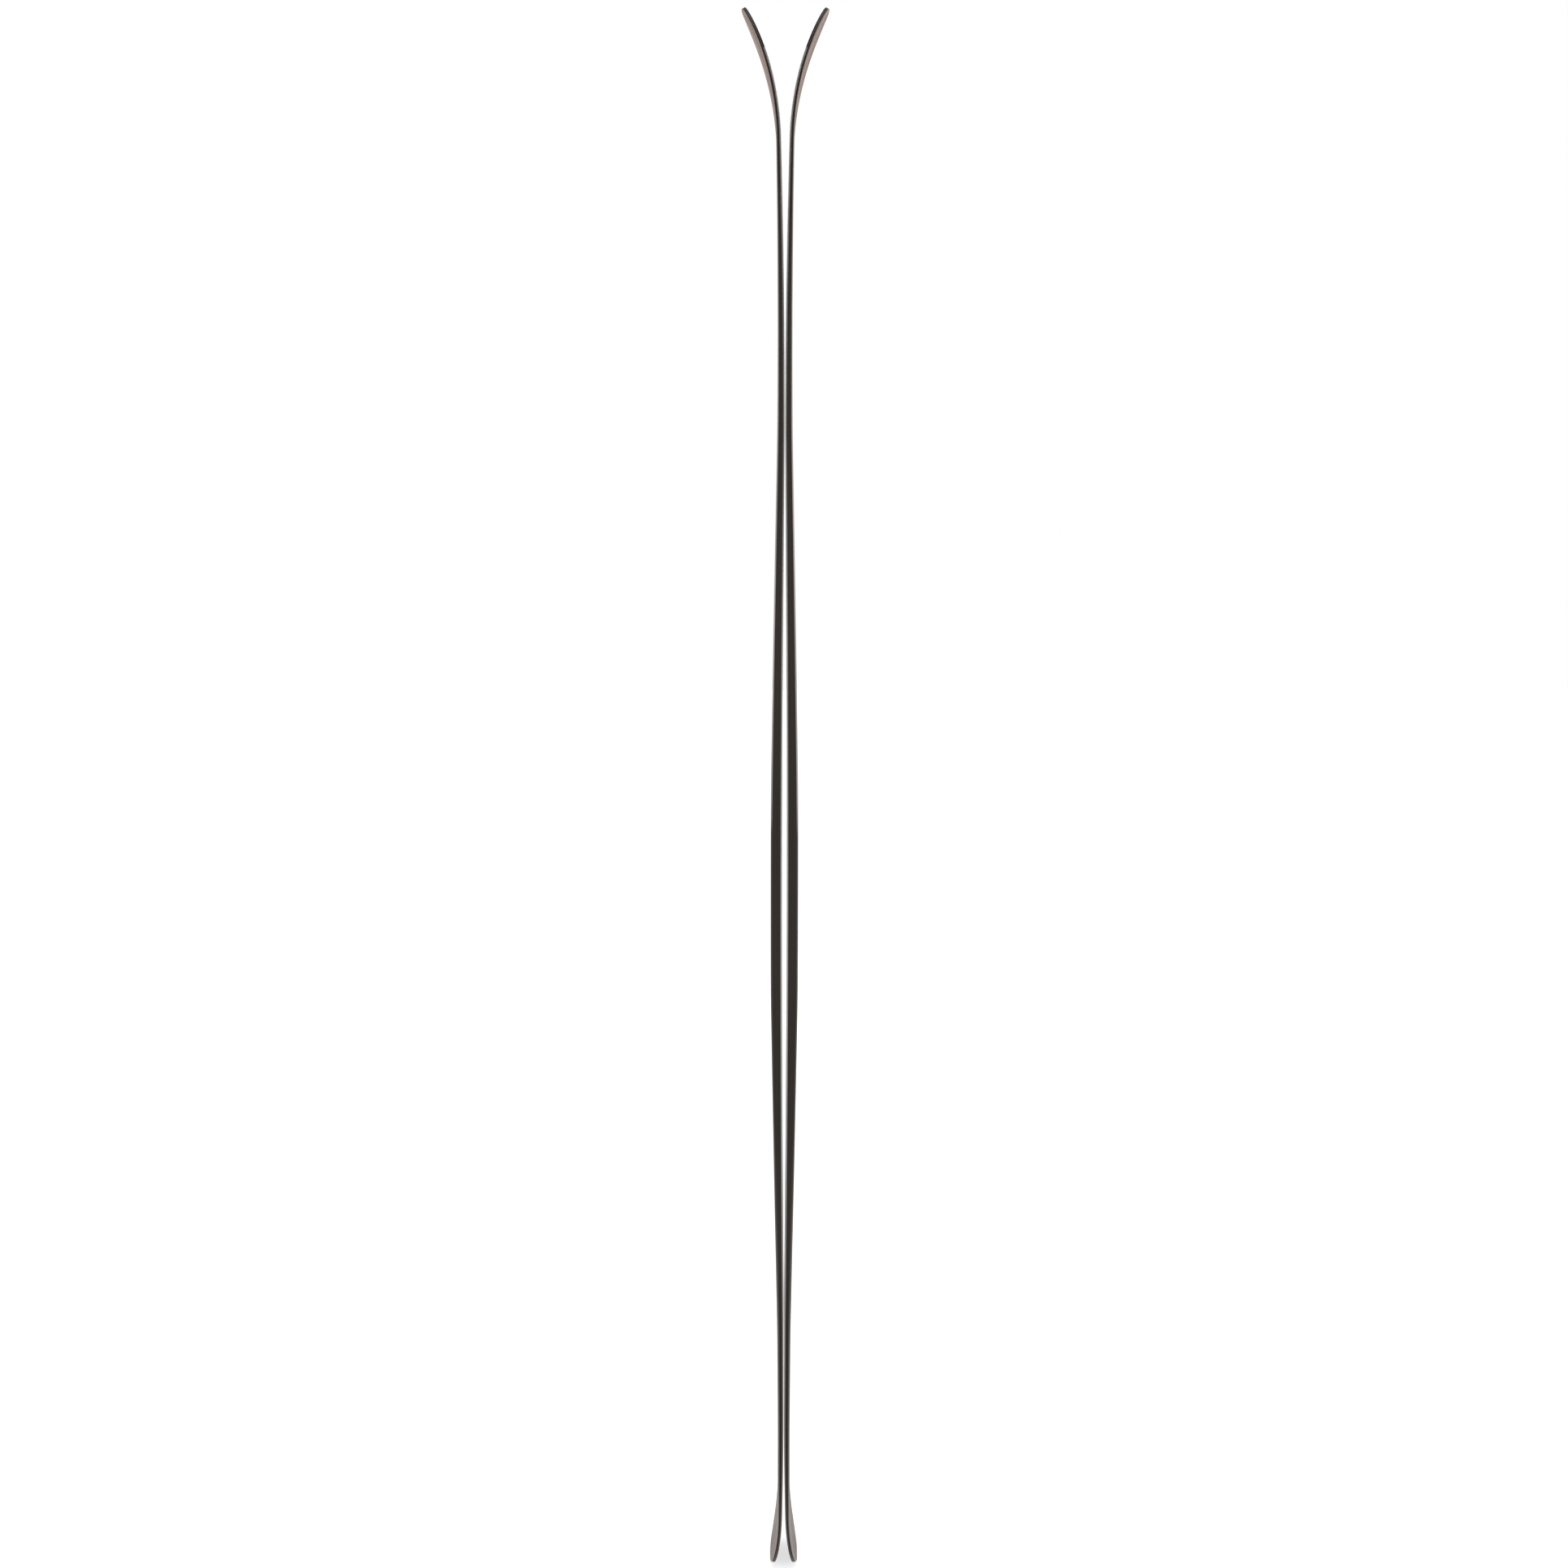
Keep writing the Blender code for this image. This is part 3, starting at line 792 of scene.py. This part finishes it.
def build_skis():
    layers = ski_layers()
    finishes = shown_finishes()
    for _, _, mesh, slot in layers:
        mesh.materials.append(finishes[slot])
    place_ski("right", 0.0, layers)
    place_ski("left", math.pi, layers)
    for layer, material in hidden_finishes().items():
        for name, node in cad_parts.items():
            if name.endswith(layer):
                node.data.materials.clear()
                node.data.materials.append(material)


# ---------------------------------------------------------------- studio


def add_sun(name, source, irradiance, spread):
    """Soft light from far away in the direction of source."""
    sun = bpy.data.lights.new(name, "SUN")
    sun.energy = irradiance
    sun.angle = math.radians(spread)
    lamp = bpy.data.objects.new(name, sun)
    bpy.context.scene.collection.objects.link(lamp)
    lamp.rotation_euler = Vector(source).to_track_quat("Z", "Y").to_euler()


def build_sky(scene):
    """A surround that the camera sees as white, and that is dimmer where it lights the skis."""
    world = bpy.data.worlds.new("studio")
    scene.world = world
    world.use_nodes = True
    background = world.node_tree.nodes["Background"]
    background.inputs["Color"].default_value = (1, 1, 1, 1)
    seen = world.node_tree.nodes.new("ShaderNodeLightPath")
    strength = world.node_tree.nodes.new("ShaderNodeMapRange")
    strength.inputs["To Min"].default_value = SURROUND
    strength.inputs["To Max"].default_value = 1.0
    world.node_tree.links.new(seen.outputs["Is Camera Ray"], strength.inputs["Value"])
    world.node_tree.links.new(strength.outputs["Result"], background.inputs["Strength"])


def build_floor(scene):
    """A sheet of pale paper that is lit from below as well, so that shadows on it stay faint."""
    floor_mesh = bpy.data.meshes.new("floor")
    corners = [(x * FLOOR_REACH, y * FLOOR_REACH, 0) for x, y in ((-1, -1), (1, -1), (1, 1), (-1, 1))]
    floor_mesh.from_pydata(corners, [], [(0, 1, 2, 3)])
    floor = bpy.data.objects.new("floor", floor_mesh)
    scene.collection.objects.link(floor)
    floor.location.z = cad_low.z - FLOOR_DROP
    paper = Finish("lit_paper_floor", Emission_Color=(1, 1, 1, 1), Emission_Strength=FLOOR_GLOW)
    grain = paper.noise(paper.inside(0.4, 0.4), 3)
    paper.colour(paper.ramp(grain, (0.3, (0.48, 0.48, 0.48)), (0.7, (0.52, 0.52, 0.52))))
    paper.roughness(paper.between(grain, 0.3, 0.7, 0.75, 0.85))
    floor_mesh.materials.append(paper.material)


def add_camera(scene):
    camera_data = bpy.data.cameras.new("camera")
    camera_data.lens = LENS
    camera_data.sensor_width = SENSOR_WIDTH
    camera = bpy.data.objects.new("camera", camera_data)
    scene.collection.objects.link(camera)
    camera.location = CAMERA_PLACE
    view = Vector(CAMERA_AIM) - camera.location
    camera.rotation_euler = view.to_track_quat("-Z", "Y").to_euler()
    camera.rotation_euler.rotate_axis("Z", CAMERA_ROLL)
    scene.camera = camera


def build_studio():
    """Soft light from above and both sides, a floor, and the camera at chest height."""
    scene = bpy.context.scene
    scene.view_settings.view_transform = "Standard"
    build_sky(scene)
    add_sun("overhead", (0, 0, 1), 1.2, 60)
    add_sun("left_softbox", (-1, -0.35, 0.15), 2.3, 50)
    add_sun("right_softbox", (1, -0.35, 0.15), 2.3, 50)
    build_floor(scene)
    add_camera(scene)


build_skis()
build_studio()
bpy.context.view_layer.update()
